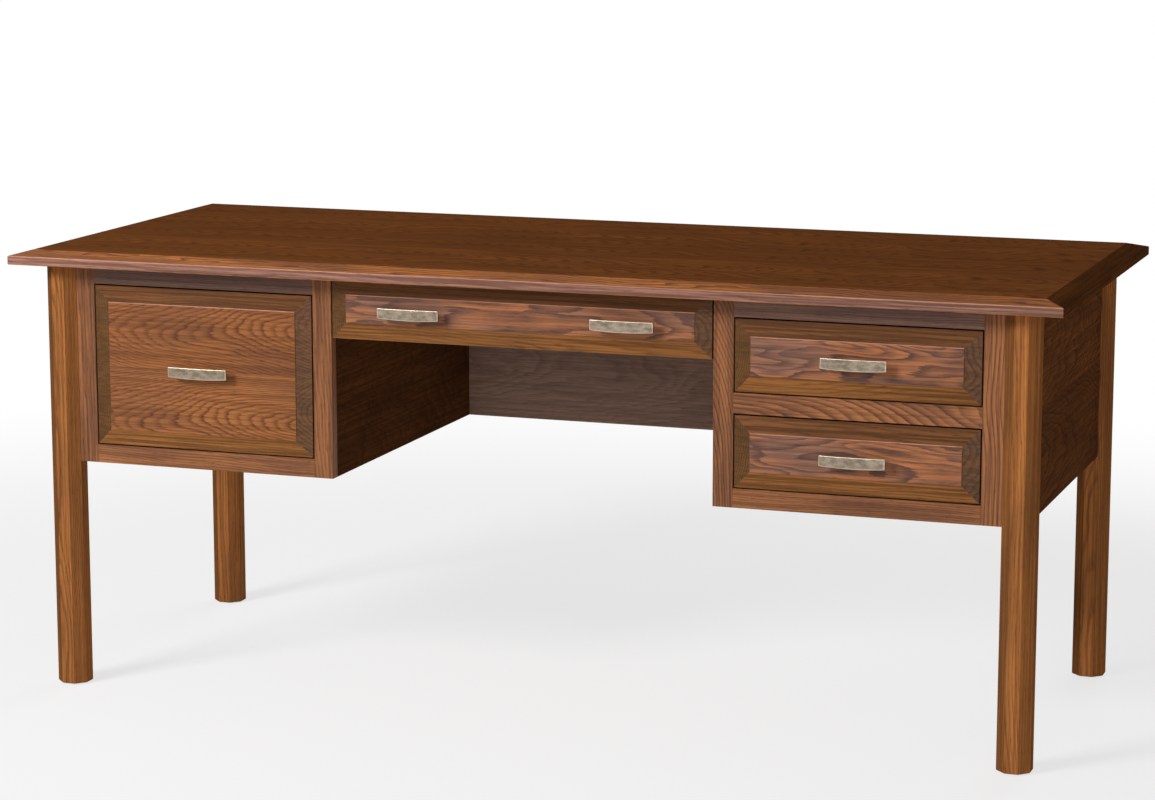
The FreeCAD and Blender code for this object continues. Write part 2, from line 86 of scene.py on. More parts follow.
# %% [markdown]
# ## Camera
# The photographer stood at the right of the desk, a little above its top, with a long lens.
# The place and the lens were found by matching the corners of the legs, drawers and top with the picture.
# A level camera with a shifted lens would keep the legs upright, but every other view would be shifted too.
# So the camera is tipped down instead.

# %% Set the camera
QUARTER = math.pi / 2
CAMERA_PLACE = Vector((1.865, -5.359, 1.519))
CAMERA_TURN = math.radians(19.31)
CAMERA_TIP = math.radians(10.17)
CAMERA_LENS = 102.6
CAMERA_REACH = 200


def deselect():
    bpy.ops.object.select_all(action="DESELECT")


deselect()
bpy.ops.object.camera_add(location=CAMERA_PLACE, rotation=(QUARTER - CAMERA_TIP, 0, CAMERA_TURN))
camera = bpy.context.active_object
camera.data.lens = CAMERA_LENS
camera.data.clip_end = CAMERA_REACH
bpy.context.scene.camera = camera
bpy.context.scene.view_settings.view_transform = "Standard"
print("camera", [round(value, 3) for value in camera.location], "lens", CAMERA_LENS, "mm")

# %% [markdown]
# ## Shader nodes in plain words
# A finish is a small network of nodes, and building one in code is mostly adding nodes and joining sockets.
# A few helpers keep that readable: they add a node, do arithmetic, mix colours or make stretched noise.
# A socket that is handed in gets linked, and a plain value is typed into the socket.


# %% Helpers for node networks
def add_node(tree, kind, inputs=None, **settings):
    """Add a node, set its options, and fill or link its inputs."""
    made = tree.nodes.new("ShaderNode" + kind)
    for setting, value in settings.items():
        setattr(made, setting, value)
    for socket, value in (inputs or {}).items():
        if isinstance(value, bpy.types.NodeSocket):
            tree.links.new(value, made.inputs[socket])
        else:
            made.inputs[socket].default_value = value
    return made


def calc(tree, operation, first, second=0.0, third=0.0):
    """The result of one Math node."""
    return add_node(tree, "Math", {0: first, 1: second, 2: third}, operation=operation).outputs[0]


def mix_colours(tree, share, first, second):
    """Blend from the first colour to the second by the given share."""
    return add_node(tree, "Mix", {0: share, 6: first, 7: second}, data_type="RGBA").outputs[2]


def soft_step(tree, value, start, end):
    """Rise from 0 to 1 as the value goes from start to end."""
    inputs = {"Value": value, "From Min": start, "From Max": end}
    return add_node(tree, "MapRange", inputs, interpolation_type="SMOOTHSTEP").outputs["Result"]


def noise_node(tree, vector, cells, detail=2.0):
    """Noise whose cells are counted per metre along each axis."""
    scaled = add_node(tree, "VectorMath", {0: vector, 1: cells}, operation="MULTIPLY").outputs[0]
    return add_node(tree, "TexNoise", {"Vector": scaled, "Scale": 1.0, "Detail": detail})


def noise(tree, vector, cells, detail=2.0):
    """The grey value of that noise, from 0 to 1."""
    return noise_node(tree, vector, cells, detail).outputs[0]


def screen_colour(red, green, blue):
    """A colour as a paint program shows it, 0 to 255, turned into light values by the sRGB curve."""
    def light(value):
        share = value / 255
        return share / 12.92 if share <= 0.04045 else ((share + 0.055) / 1.055) ** 2.4
    return light(red), light(green), light(blue), 1.0


def new_group(name, inputs, outputs):
    """An empty node group; its first input is a vector, and the others are numbers."""
    group = bpy.data.node_groups.new(name, "ShaderNodeTree")
    for number, (socket, value) in enumerate(inputs.items()):
        kind = "NodeSocketFloat" if number else "NodeSocketVector"
        made = group.interface.new_socket(name=socket, in_out="INPUT", socket_type=kind)
        if number:
            made.default_value = value
    for socket, kind in outputs.items():
        group.interface.new_socket(name=socket, in_out="OUTPUT", socket_type="NodeSocket" + kind)
    ways_in = group.nodes.new("NodeGroupInput").outputs
    ways_out = group.nodes.new("NodeGroupOutput").inputs
    return group, ways_in, ways_out


print("helpers for nodes are ready")

# %% [markdown]
# ## The studio
# The desk stands on a pale floor in soft light from large lamps, as in a catalogue picture.
# Far from the desk the floor melts into a white background, seen only by the camera and in reflections.
# The light that falls on the desk comes from the lamps and a dimmer sky.

# %% Floor and background
FLOOR_SIZE = 80
FADE_START = 1.3
FADE_END = 3.2
NEAR_GLOW = 0.7
PAPER = (0.86, 0.86, 0.86, 1)
WHITE = (1, 1, 1, 1)
SKY_TINT = (1.0, 0.98, 0.95, 1)
SKY_STRENGTH = 0.18


def seen_directly(tree):
    """1 for rays from the camera and for what shows in gloss or through glass."""
    path = add_node(tree, "LightPath")
    seen = calc(tree, "MAXIMUM", path.outputs["Is Camera Ray"], path.outputs["Is Glossy Ray"])
    return calc(tree, "MAXIMUM", seen, path.outputs["Is Transmission Ray"])


def new_material(name):
    """A material with an empty network, and the socket that its shader goes into."""
    material = bpy.data.materials.new(name)
    material.use_nodes = True
    tree = material.node_tree
    tree.nodes.clear()
    return material, tree, tree.nodes.new("ShaderNodeOutputMaterial").inputs["Surface"]


def object_place(tree):
    """Where a point lies on its piece."""
    return add_node(tree, "TexCoord").outputs["Object"]


def studio_floor():
    """Paper that is lit by the lamps near the desk and fades to plain white farther away."""
    material, tree, surface = new_material("studio floor")
    paper = add_node(tree, "BsdfDiffuse", {"Color": PAPER})
    white = add_node(tree, "Emission", {"Color": WHITE, "Strength": 1.0})
    distance = add_node(tree, "VectorMath", {0: object_place(tree)}, operation="LENGTH").outputs["Value"]
    fade = soft_step(tree, distance, FADE_START, FADE_END)
    glow = calc(tree, "MULTIPLY_ADD", fade, 1 - NEAR_GLOW, NEAR_GLOW)
    share = calc(tree, "MULTIPLY", glow, seen_directly(tree))
    mixed = add_node(tree, "MixShader", {0: share, 1: paper.outputs[0], 2: white.outputs[0]})
    tree.links.new(mixed.outputs[0], surface)
    return material


deselect()
bpy.ops.mesh.primitive_plane_add(size=FLOOR_SIZE)
floor = bpy.context.active_object
floor.name = "studio_floor"
floor.data.materials.append(studio_floor())

world = bpy.data.worlds.new("studio")
bpy.context.scene.world = world
world.use_nodes = True
sky = world.node_tree
sky.nodes.clear()
dim = add_node(sky, "Background", {"Color": SKY_TINT, "Strength": SKY_STRENGTH})
bright = add_node(sky, "Background", {"Color": WHITE, "Strength": 1.0})
both = add_node(sky, "MixShader", {0: seen_directly(sky), 1: dim.outputs[0], 2: bright.outputs[0]})
sky.links.new(both.outputs[0], sky.nodes.new("ShaderNodeOutputWorld").inputs["Surface"])
print("floor", FLOOR_SIZE, "m wide, fading from", FADE_START, "to", FADE_END, "m")

# %% Lamps
DESK_MIDDLE = (cad_low + cad_high) / 2


def softbox(name, place, width, height, watts):
    """A large soft lamp that faces the middle of the desk."""
    deselect()
    aim = DESK_MIDDLE - Vector(place)
    bpy.ops.object.light_add(type="AREA", location=place, rotation=aim.to_track_quat("-Z", "Y").to_euler())
    lamp = bpy.context.active_object
    lamp.name = name
    lamp.data.shape = "RECTANGLE"
    lamp.data.size = width
    lamp.data.size_y = height
    lamp.data.energy = watts
    print(name, "lamp,", watts, "W")


softbox("key", (-2.8, -4.3, 3.1), width=1.8, height=1.4, watts=250)
softbox("fill", (1.9, -4.9, 1.1), width=3.0, height=2.0, watts=38)
softbox("back", (0.8, 4.8, 1.2), width=3.0, height=1.8, watts=110)

# %% [markdown]
# ## Oak grain as a node group
# Plain-sawn oak shows pointed arches where the flat board cuts the round growth rings at a slant.
# A picture of grain would stretch over the bevels, so the rings are worked out in space instead.
# Each point is measured from the middle of the tree, which lies behind the board and leans a little.
# The open pores of the spring wood fray each ring along the grain, and take up the most stain.

# %% Oak grain group
# Place within one ring, and how dark it is there
RING_PROFILE = ((0.0, 0.85), (0.08, 1.0), (0.26, 0.5), (0.46, 0.08), (0.88, 0.0), (0.99, 0.8))
# Cells of noise per metre across, along and into the board
WOBBLE_CELLS = (40, 6, 40)
FRAY_CELLS = (420, 16, 420)
PORE_CELLS = (1500, 55, 1500)
CLOUD_CELLS = (16, 4, 16)
FIBRE_CELLS = (240, 3.5, 240)
PORE_STEP = (0.52, 0.70)
STREAK_STEP = (0.40, 0.62)
FAINTEST_YEAR = 0.5
FEWEST_PORES = 0.25


def sway(tree, value, amount):
    """A value from 0 to 1, turned into a sway to either side."""
    return calc(tree, "MULTIPLY", calc(tree, "SUBTRACT", value, 0.5), amount)


def make_oak_grain():
    """Across is X, along the grain is Y and depth into the board is Z of the vector that comes in."""
    group, ways_in, ways_out = new_group(
        "oak grain",
        {"Vector": None, "spacing": 0.003, "heart": 0.09, "taper": 0.12, "wander": 0.03,
         "across_cells": 7.0, "along_cells": 2.6, "wobble": 1.5, "feather": 0.4, "fade": 1.0},
        {"Rings": "Float", "Pores": "Float", "Clouds": "Float", "Streaks": "Float"})
    vector = ways_in["Vector"]
    axes = add_node(group, "SeparateXYZ", {0: vector}).outputs
    broad = ways_in["across_cells"]
    figure = add_node(group, "CombineXYZ", {0: broad, 1: ways_in["along_cells"], 2: broad}).outputs[0]
    drift = add_node(group, "SeparateXYZ", {0: noise_node(group, vector, figure).outputs["Color"]}).outputs
    across = calc(group, "ADD", axes[0], sway(group, drift[0], ways_in["wander"]))
    lean = calc(group, "MULTIPLY_ADD", axes[1], ways_in["taper"], ways_in["heart"])
    depth = calc(group, "SUBTRACT", lean, axes[2])
    depth = calc(group, "ADD", depth, sway(group, drift[1], ways_in["wander"]))
    squares = calc(group, "MULTIPLY_ADD", across, across, calc(group, "MULTIPLY", depth, depth))
    radius = calc(group, "SQRT", squares)
    wobble = sway(group, noise(group, vector, WOBBLE_CELLS, detail=1.0), ways_in["wobble"])
    fray = sway(group, noise(group, vector, FRAY_CELLS), ways_in["feather"])
    turn = calc(group, "DIVIDE", radius, ways_in["spacing"])
    turn = calc(group, "ADD", turn, calc(group, "ADD", fray, wobble))
    within_ring = calc(group, "DIVIDE", calc(group, "FRACT", turn), ways_in["fade"])
    ramp = add_node(group, "ValToRGB", {0: within_ring})
    stops = ramp.color_ramp.elements
    for number, (place, grey) in enumerate(RING_PROFILE):
        stop = stops[number] if number < len(stops) else stops.new(place)
        stop.position = place
        stop.color = (grey, grey, grey, 1)
    spring = ramp.outputs[0]
    year = add_node(group, "TexWhiteNoise", {"W": calc(group, "FLOOR", turn)}, noise_dimensions="1D")
    strength = calc(group, "MULTIPLY_ADD", year.outputs["Value"], 1 - FAINTEST_YEAR, FAINTEST_YEAR)
    specks = soft_step(group, noise(group, vector, PORE_CELLS, detail=1.0), *PORE_STEP)
    open_wood = calc(group, "MULTIPLY_ADD", spring, 1 - FEWEST_PORES, FEWEST_PORES)
    results = {
        "Rings": calc(group, "MULTIPLY", spring, strength),
        "Pores": calc(group, "MULTIPLY", specks, open_wood),
        "Clouds": noise(group, vector, CLOUD_CELLS, detail=3.0),
        "Streaks": soft_step(group, noise(group, vector, FIBRE_CELLS, detail=4.0), *STREAK_STEP),
    }
    for socket, result in results.items():
        group.links.new(result, ways_out[socket])
    return group


OAK_GRAIN = make_oak_grain()
print("oak grain group with", len(OAK_GRAIN.nodes), "nodes")

# %% [markdown]
# ## Boards glued side by side
# A wide panel is never one board: narrow boards are glued edge to edge, and each has its own grain.
# This group cuts the pattern into strips and shifts every strip by its own chance amounts.
# It also gives each strip a tone, because no two boards take the stain alike.

# %% Glued boards group
# Range of a strip's chance shift: sideways in board widths, along the grain in metres
STRIP_DRIFT = 0.4
STRIP_SLIDE = 0.5


def make_glued_boards():
    group, ways_in, ways_out = new_group(
        "glued boards",
        {"Vector": None, "Board Width": 0.12, "Shuffle": 0.0},
        {"Vector": "Vector", "Tone": "Float"})
    width = ways_in["Board Width"]
    axes = add_node(group, "SeparateXYZ", {0: ways_in["Vector"]}).outputs
    number = calc(group, "FLOOR", calc(group, "DIVIDE", axes[0], width))
    shuffled = calc(group, "ADD", number, ways_in["Shuffle"])
    chance = add_node(group, "TexWhiteNoise", {"W": shuffled}, noise_dimensions="1D").outputs["Color"]
    draws = add_node(group, "SeparateXYZ", {0: chance}).outputs
    middle = calc(group, "MULTIPLY", calc(group, "ADD", number, 0.5), width)
    sideways = calc(group, "MULTIPLY", sway(group, draws[0], STRIP_DRIFT), width)
    across = calc(group, "ADD", calc(group, "SUBTRACT", axes[0], middle), sideways)
    along = calc(group, "ADD", axes[1], sway(group, draws[1], STRIP_SLIDE))
    shifted = add_node(group, "CombineXYZ", {0: across, 1: along, 2: axes[2]})
    group.links.new(shifted.outputs[0], ways_out["Vector"])
    group.links.new(draws[2], ways_out["Tone"])
    return group


GLUED_BOARDS = make_glued_boards()
print("glued boards group with", len(GLUED_BOARDS.nodes), "nodes")

# %% [markdown]
# ## Stained oak finishes
# Every board gets its own material, because its grain runs its own way and starts at its own place.
# A Mapping node turns the desk's axes so that the pattern's Y runs along the board.
# The stain is mixed from four browns: summer wood, spring wood, open pores, and cooler cloudy patches.
# Lacquer makes the wood satin, and the pores stay a little rougher and lower than the rest.

# %% Stains
STAIN_PARTS = ("summer", "spring", "pores", "cool")
STAINS = {
    "file front": ((167, 107, 63), (80, 44, 27), (54, 32, 21), (132, 87, 60)),
    "flame fronts": ((183, 117, 76), (82, 62, 58), (54, 40, 36), (134, 100, 86)),
    # Painted light and shade: upper and left bevels darker, lower bevels lighter, right bevels greyer as a
    # painted sheen
    "upper bevels in painted shade": ((126, 81, 46), (76, 48, 29), (50, 33, 22), (104, 68, 40)),
    "lower bevels in painted light": ((152, 99, 53), (92, 58, 31), (58, 37, 22), (128, 84, 46)),
    "left bevels in painted shade": ((110, 75, 43), (67, 45, 27), (47, 32, 20), (91, 63, 37)),
    "right bevels with painted sheen": ((114, 80, 56), (66, 46, 34), (46, 33, 25), (98, 72, 55)),
    "frame": ((160, 105, 68), (80, 50, 37), (56, 37, 29), (118, 80, 61)),
    # Painted shade: the top's overhang shades the top rails
    "rails in painted shade": ((122, 92, 78), (78, 58, 52), (56, 43, 39), (104, 82, 74)),
    "legs": ((174, 112, 61), (98, 57, 33), (64, 40, 28), (140, 91, 53)),
    "top": ((152, 92, 48), (91, 53, 29), (61, 37, 23), (124, 75, 42)),
    # Partly a painted sheen: the front band is lighter than the other bands
    "band": ((186, 118, 69), (98, 61, 42), (70, 46, 34), (138, 91, 66)),
    "band edge": ((175, 127, 106), (109, 76, 66), (86, 60, 52), (153, 112, 99)),
    "panels": ((130, 81, 46), (71, 42, 26), (50, 32, 21), (105, 65, 40)),
    "back": ((159, 128, 111), (102, 81, 72), (70, 54, 50), (136, 111, 98)),
    # Painted shade in the gaps round the drawer fronts
    "reveals in painted shade": ((72, 48, 34), (50, 33, 24), (38, 25, 19), (63, 42, 30)),
}
print("stains:", ", ".join(STAINS))

# %% Oak finish
GRAIN_TURNS = {
    "flat along x": (0, 0, QUARTER),
    "flat along y": (0, 0, 0),
    "front along x": (QUARTER, 0, QUARTER),
    "front along z": (-QUARTER, 0, 0),
    "side along y": (0, QUARTER, 0),
}
CLOUD_STEP = (0.42, 0.62)
PORE_SHARE = 0.7
TONE_SHARE = 0.35
LACQUER_ROUGHNESS = 0.4
PORE_ROUGHNESS = 0.2
RING_RELIEF = -0.3
OAK_BUMP = 0.35
BUMP_DEPTH = 0.2 * MM


def along_grain(tree, turn, start=(0, 0, 0)):
    """Where a point lies on its piece, turned so that Y runs along the grain."""
    inputs = {"Vector": object_place(tree), "Location": start, "Rotation": GRAIN_TURNS[turn]}
    return add_node(tree, "Mapping", inputs).outputs["Vector"]


def bump(tree, height, strength):
    inputs = {"Strength": strength, "Distance": BUMP_DEPTH, "Height": height}
    return add_node(tree, "Bump", inputs).outputs[0]


def add_shader(tree, surface, inputs):
    """End a material with its Principled shader."""
    tree.links.new(add_node(tree, "BsdfPrincipled", inputs).outputs[0], surface)


def oak_finish(name, stain, turn, start=(0, 0, 0), boards=None, shuffle=0.0, ring_share=0.9, cool_share=0.6,
               streak_share=0.45, shine=0.06, shade=1.0, **grain_values):
    """Stained and lacquered oak; start shifts the pattern, and grain values go to the grain group."""
    material, tree, surface = new_material(name)
    vector = along_grain(tree, turn, start)
    if boards:
        inputs = {"Vector": vector, "Board Width": boards, "Shuffle": shuffle}
        strips = add_node(tree, "Group", inputs, node_tree=GLUED_BOARDS).outputs
        vector = strips["Vector"]
    grain = add_node(tree, "Group", {"Vector": vector, **grain_values}, node_tree=OAK_GRAIN).outputs
    rings, pores = grain["Rings"], grain["Pores"]
    layers = [
        ("cool", soft_step(tree, grain["Clouds"], *CLOUD_STEP), cool_share),
        ("spring", grain["Streaks"], streak_share),
        ("spring", rings, ring_share),
        ("pores", pores, PORE_SHARE),
    ]
    if boards:
        layers.append(("spring", strips["Tone"], TONE_SHARE))
    browns = [screen_colour(*(shade * value for value in brown)) for brown in STAINS[stain]]
    colours = dict(zip(STAIN_PARTS, browns))
    wood = colours["summer"]
    for part, mask, share in layers:
        wood = mix_colours(tree, calc(tree, "MULTIPLY", mask, share), wood, colours[part])
    relief = calc(tree, "MULTIPLY_ADD", rings, RING_RELIEF, calc(tree, "SUBTRACT", 1.0, pores))
    add_shader(tree, surface, {
        "Base Color": wood,
        "Roughness": calc(tree, "MULTIPLY_ADD", pores, PORE_ROUGHNESS, LACQUER_ROUGHNESS),
        "Specular IOR Level": shine,
        "Normal": bump(tree, relief, OAK_BUMP),
    })
    return material


print("grain can run:", ", ".join(GRAIN_TURNS))

# %% [markdown]
# ## Metals, plain woods and plastic
# The pulls are cast and plated like old pewter: grey-gold metal with darker patches of aged plate.
# The slides are zinc-plated steel, which has a faint crystal pattern.
# The drawer boxes are pale hardwood with a clear finish, and the hidden cleats are left bare.

# %% Pewter
PATCH_CELLS = (70, 70, 150)
SPECK_CELLS = (700, 700, 420)
DENT_CELLS = (330, 330, 330)
PATCH_STEP = (0.25, 0.75)
PATCH_SHARE = 0.6
SPECK_SHARE = 0.6
PATCH_ROUGHNESS = -0.2
DENT_BUMP = 0.3


def pewter(name, dark, light, rough):
    """Plated metal between a dark and a light tone."""
    material, tree, surface = new_material(name)
    place = object_place(tree)
    patches = noise(tree, place, PATCH_CELLS, detail=3.0)
    specks = noise(tree, place, SPECK_CELLS)
    dents = noise(tree, place, DENT_CELLS)
    worn = calc(tree, "MULTIPLY", soft_step(tree, patches, *PATCH_STEP), PATCH_SHARE)
    aged = calc(tree, "MULTIPLY_ADD", specks, SPECK_SHARE, worn)
    add_shader(tree, surface, {
        "Base Color": mix_colours(tree, aged, screen_colour(*dark), screen_colour(*light)),
        "Metallic": 1.0,
        "Roughness": calc(tree, "MULTIPLY_ADD", patches, PATCH_ROUGHNESS, rough),
        "Normal": bump(tree, dents, DENT_BUMP),
    })
    return material


PEWTER = pewter("aged pewter", dark=(76, 63, 49), light=(166, 152, 134), rough=0.5)
# The eased edges of a pull are lighter: partly rubbed wear, partly a painted highlight.
PEWTER_WEAR_AND_HIGHLIGHT = pewter("rubbed pewter and painted highlight", dark=(182, 163, 138), light=(224, 204, 178), rough=0.6)
print("metals:", PEWTER.name, "and", PEWTER_WEAR_AND_HIGHLIGHT.name)

# %% Zinc
ZINC_DARK = (176, 179, 182)
ZINC_LIGHT = (204, 206, 208)
ZINC_ROUGHNESS = 0.3
CRYSTAL_ROUGHNESS = 0.12
CRYSTALS_PER_METRE = 140.0


def zinc():
    material, tree, surface = new_material("zinc plate")
    cells = {"Vector": object_place(tree), "Scale": CRYSTALS_PER_METRE}
    crystals = add_node(tree, "TexVoronoi", cells).outputs["Color"]
    bright = add_node(tree, "SeparateXYZ", {0: crystals}).outputs[0]
    add_shader(tree, surface, {
        "Base Color": mix_colours(tree, bright, screen_colour(*ZINC_DARK), screen_colour(*ZINC_LIGHT)),
        "Metallic": 1.0,
        "Roughness": calc(tree, "MULTIPLY_ADD", bright, CRYSTAL_ROUGHNESS, ZINC_ROUGHNESS),
    })
    return material


ZINC = zinc()
print("metal:", ZINC.name)

# %% Pale woods
BAND_CELLS = (60, 1.6, 60)
FINE_CELLS = (900, 14, 900)
BAND_STEP = (0.35, 0.7)
BAND_SHARE = 0.65
FINE_SHARE = 0.35
FINE_BUMP = 0.2
CLEAR_SHINE = 0.3


def pale_wood(name, turn, light, dark, rough):
    """Plain hardwood with soft bands and fine fibres."""
    material, tree, surface = new_material(name)
    vector = along_grain(tree, turn)
    fibres = noise(tree, vector, FINE_CELLS)
    bands = soft_step(tree, noise(tree, vector, BAND_CELLS, detail=3.0), *BAND_STEP)
    share = calc(tree, "MULTIPLY_ADD", fibres, FINE_SHARE, calc(tree, "MULTIPLY", bands, BAND_SHARE))
    add_shader(tree, surface, {
        "Base Color": mix_colours(tree, share, screen_colour(*light), screen_colour(*dark)),
        "Roughness": rough,
        "Specular IOR Level": CLEAR_SHINE,
        "Normal": bump(tree, fibres, FINE_BUMP),
    })
    return material


BOX_SIDE = pale_wood("drawer side wood", "side along y", (214, 180, 134), (186, 146, 100), rough=0.45)
BOX_END = pale_wood("drawer end wood", "front along x", (206, 170, 124), (178, 138, 94), rough=0.45)
BOX_FLOOR = pale_wood("drawer floor wood", "flat along x", (216, 186, 144), (194, 158, 114), rough=0.5)
BARE_WOOD = pale_wood("bare cleat wood", "flat along y", (196, 160, 112), (170, 132, 88), rough=0.65)
print("woods:", ", ".join(wood.name for wood in (BOX_SIDE, BOX_END, BOX_FLOOR, BARE_WOOD)))

# %% Glide plastic
MOULD_CELLS = (600, 600, 600)
PLASTIC_DARK = (42, 37, 34)
PLASTIC_LIGHT = (58, 52, 47)
PLASTIC_ROUGHNESS = 0.45
MOULD_ROUGHNESS = 0.2


def dark_plastic():
    material, tree, surface = new_material("glide plastic")
    grains = noise(tree, object_place(tree), MOULD_CELLS)
    add_shader(tree, surface, {
        "Base Color": mix_colours(tree, grains, screen_colour(*PLASTIC_DARK), screen_colour(*PLASTIC_LIGHT)),
        "Roughness": calc(tree, "MULTIPLY_ADD", grains, MOULD_ROUGHNESS, PLASTIC_ROUGHNESS),
    })
    return material


GLIDE = dark_plastic()
print("plastic:", GLIDE.name)

# %% [markdown]
# ## Tools for modelling
# Each board starts as a cube primitive of the board's own size, taken from the frame.
# A sharp edge looks false, because no real edge is sharp: a Bevel modifier eases it by part of a millimetre.
# Hardened normals keep the broad faces flat in the light, so that only the eased edge catches a highlight.

# %% Primitives and edges
X, Y, Z = 0, 1, 2
SAME_PLACE = 0.05 * MM


def pick(piece):
    """Select one piece alone, and make it active."""
    deselect()
    piece.select_set(True)
    bpy.context.view_layer.objects.active = piece


def settle(piece, name):
    """Name a piece, and put its place, turn and size into its mesh."""
    piece.name = name
    pick(piece)
    bpy.ops.object.transform_apply(location=True, rotation=True, scale=True)
    return piece


def add_block(name, low, high):
    """A cube primitive between two corners."""
    deselect()
    bpy.ops.mesh.primitive_cube_add(size=1, location=(low + high) / 2, scale=high - low)
    return settle(bpy.context.active_object, name)


def near(first, second):
    return abs(first - second) < SAME_PLACE


def lies_at(axis, value):
    """A test for edges that lie at one place along an axis."""
    return lambda first, second: near(first[axis], value) and near(second[axis], value)


def select_edges(piece, test):
    """Go to edit mode with only those edges selected whose two ends pass the test."""
    pick(piece)
    bpy.ops.object.mode_set(mode="EDIT")
    bpy.ops.mesh.select_mode(type="EDGE")
    bpy.ops.mesh.select_all(action="DESELECT")
    bpy.ops.object.mode_set(mode="OBJECT")
    points = piece.data.vertices
    for edge in piece.data.edges:
        edge.select = test(points[edge.vertices[0]].co, points[edge.vertices[1]].co)
    bpy.ops.object.mode_set(mode="EDIT")


def leave_edit():
    bpy.ops.object.mode_set(mode="OBJECT")


def round_edges(piece, test, width, segments):
    """Bevel the edges that pass the test."""
    select_edges(piece, test)
    bpy.ops.mesh.bevel(offset=width, segments=segments)
    leave_edit()


def ease_edges(piece, width, segments=2, angle=40, edge_finish=-1):
    """Round every edge that is sharper than the angle, and keep the flat faces flat in the light."""
    pick(piece)
    bpy.ops.object.shade_smooth()
    ease = piece.modifiers.new("eased edges", "BEVEL")
    ease.width = width
    ease.segments = segments
    ease.limit_method = "ANGLE"
    ease.angle_limit = math.radians(angle)
    ease.harden_normals = True
    ease.material = edge_finish
    bpy.ops.object.modifier_apply(modifier=ease.name)
    return piece


print("edges count as one place within", SAME_PLACE / MM, "mm")


def stand_for(piece, material, *nodes):
    """Give a piece its finish and let it take the place of the named nodes."""
    piece.data.materials.append(material)
    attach(piece, frame["nodes"][nodes[0]]["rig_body"])
    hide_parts(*nodes)


def dress_faces(piece, finishes, number_for):
    """Add more finishes to a piece, and let each face choose by number, where 0 is the first finish."""
    for finish in finishes:
        piece.data.materials.append(finish)
    for face in piece.data.polygons:
        face.material_index = number_for(face)


# %% [markdown]
# ## The top
# The top is a broad glued panel with a band along each edge, mitred at the corners.
# Every band slopes down to a thinner outer edge, in the manner of the bevels round the drawer fronts.
# A band starts as a block: drawing in its inner edge makes the mitres, lowering its outer edge the slope.
# The outer edges are rounded, and a hairline of eased edge marks each joint.

# %% Shape of a top band
EDGE_ROUND = 1.6 * MM
EDGE_THICK = 15 * MM
JOINT_EASE = 0.25 * MM
# How far a face has to turn outwards to count as the standing edge or as its rounded corner
STANDING_EDGE = 0.97
ROUNDED_CORNER = 0.3
field_low, field_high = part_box("top_field_panel")


def top_band(node, axis, material, edge_finishes=()):
    """A mitred band that runs along X or Y; its edge may have a finish of its own, and its upper corner a
    painted highlight.
    """
    low, high = [corner.copy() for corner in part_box(node)]
    side = 1 - axis
    reach = cad_high[axis]
    low[axis] = -reach
    high[axis] = reach
    piece = add_block("oak_" + node, low, high)
    outer = cad_high[side] if (low + high)[side] > 0 else cad_low[side]
    inner = low[side] if outer > 0 else high[side]
    select_edges(piece, lies_at(side, inner))
    draw_in = [1, 1, 1]
    draw_in[axis] = field_high[axis] / reach
    bpy.ops.transform.resize(
        value=draw_in, center_override=(0, 0, 0), orient_type="GLOBAL",
        constraint_axis=(axis == X, axis == Y, False))
    leave_edit()
    at_rim = lies_at(side, outer)
    select_edges(piece, lambda a, b: at_rim(a, b) and near(a.z + b.z, 2 * high.z))
    bpy.ops.transform.translate(value=(0, 0, low.z + EDGE_THICK - high.z))
    leave_edit()
    round_edges(piece, lambda a, b: at_rim(a, b) and near(a.z, b.z), EDGE_ROUND, segments=4)
    ease_edges(piece, JOINT_EASE, angle=50)
    stand_for(piece, material, node)

    def edge_number(face):
        outward = face.normal[side] * outer / abs(outer)
        if outward > STANDING_EDGE:
            return 1
        return 2 if outward > ROUNDED_CORNER and face.normal.z > 0 else 0

    if edge_finishes:
        dress_faces(piece, edge_finishes, edge_number)
    print(piece.name, "mitred to", round(field_high[axis], 3), "with an edge of", EDGE_THICK / MM, "mm")


print("field of the top", [round(size, 3) for size in field_high - field_low])

# %% Bands and field
# Where the pattern starts on the top's surface and on its front edge
TOP_LEVEL = -0.773
EDGE_START = (-0.70, 0.4, 0.395)


def top_finish(name, turn, across, along, stain="top", **looks):
    return oak_finish(name, stain, turn, (across, along, TOP_LEVEL), shine=0, **looks)


def rim_finish(name, **looks):
    return oak_finish(name, "band edge", "front along x", EDGE_START, shine=0, **looks)


# The front band's lighter band stain and its higher shade are partly a painted sheen.
front_band = top_finish(
    "oak front band", "flat along x", 0.35, 0.4, "band", spacing=0.008, heart=0.2, taper=0.01, wander=0.06,
    across_cells=20, along_cells=6, fade=1.3, cool_share=0.8, ring_share=1.0, streak_share=0.3, shade=1.08)
front_rim = [
    rim_finish("oak front edge", spacing=0.005, taper=0.02, ring_share=0.7, streak_share=0.8, shade=0.95),
    # The rounded upper corner of the front edge gets a lighter finish: a painted highlight.
    rim_finish("oak front arris painted highlight", ring_share=0.2, streak_share=0.3, shade=1.2),
]
back_band = top_finish("oak back band", "flat along x", -0.35, 1.3, heart=0.07, taper=0.09)
left_band = top_finish("oak left band", "flat along y", 1.0, 0.2, heart=0.05, taper=0.05)
# The right band's low shade is painted shade.
right_band = top_finish("oak right band", "flat along y", -0.8, 0.7, heart=0.05, taper=0.05, shade=0.77)
field_oak = top_finish(
    "oak top field", "flat along x", 0, 0, boards=0.11, shuffle=3, heart=0.12, taper=0.08, ring_share=0.75)
top_band("top_front_band", X, front_band, front_rim)
top_band("top_back_band", X, back_band)
top_band("top_left_band", Y, left_band)
top_band("top_right_band", Y, right_band)
field = ease_edges(add_block("oak_top_field_panel", field_low, field_high), JOINT_EASE)
stand_for(field, field_oak, "top_field_panel")
print(field.name, "has", len(field.data.polygons), "faces")

